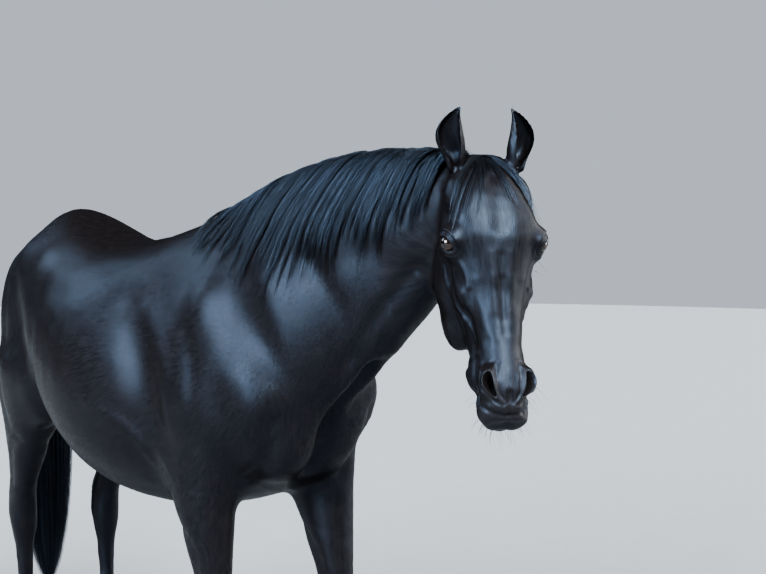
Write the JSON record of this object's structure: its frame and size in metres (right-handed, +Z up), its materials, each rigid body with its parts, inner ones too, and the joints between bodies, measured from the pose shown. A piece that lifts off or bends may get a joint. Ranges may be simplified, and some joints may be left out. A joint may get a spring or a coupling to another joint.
{
  "type": "horse",
  "caption": "Standing black horse with its head turned to its right, life size: trunk, neck, head, legs, ears, eyes, hooves, mane, forelock and tail in natural proportion.",
  "frame": {"origin": "on the floor, below the middle of the whole horse's box", "axes": "+Z up, -Y the way the horse faces, +X to the horse's left"},
  "size_m": [0.6066, 2.3846, 1.7385],
  "materials": {
    "coat": "short glossy black coat",
    "hair": "long fine black hair",
    "horn": "satin dark horn",
    "eye": "wet, clear and dark"
  },
  "bodies": {
    "root": {"trunk": "coat", "neck": "coat", "head": "coat", "foreleg_left": "coat", "foreleg_right": "coat", "hindleg_left": "coat", "hindleg_right": "coat", "ear_left": "coat", "ear_right": "coat", "mane": "hair", "forelock": "hair", "tail": "hair", "hoof_fore_left": "horn", "hoof_fore_right": "horn", "hoof_hind_left": "horn", "hoof_hind_right": "horn", "eye_left": "eye", "eye_right": "eye"}
  },
  "joints": []
}
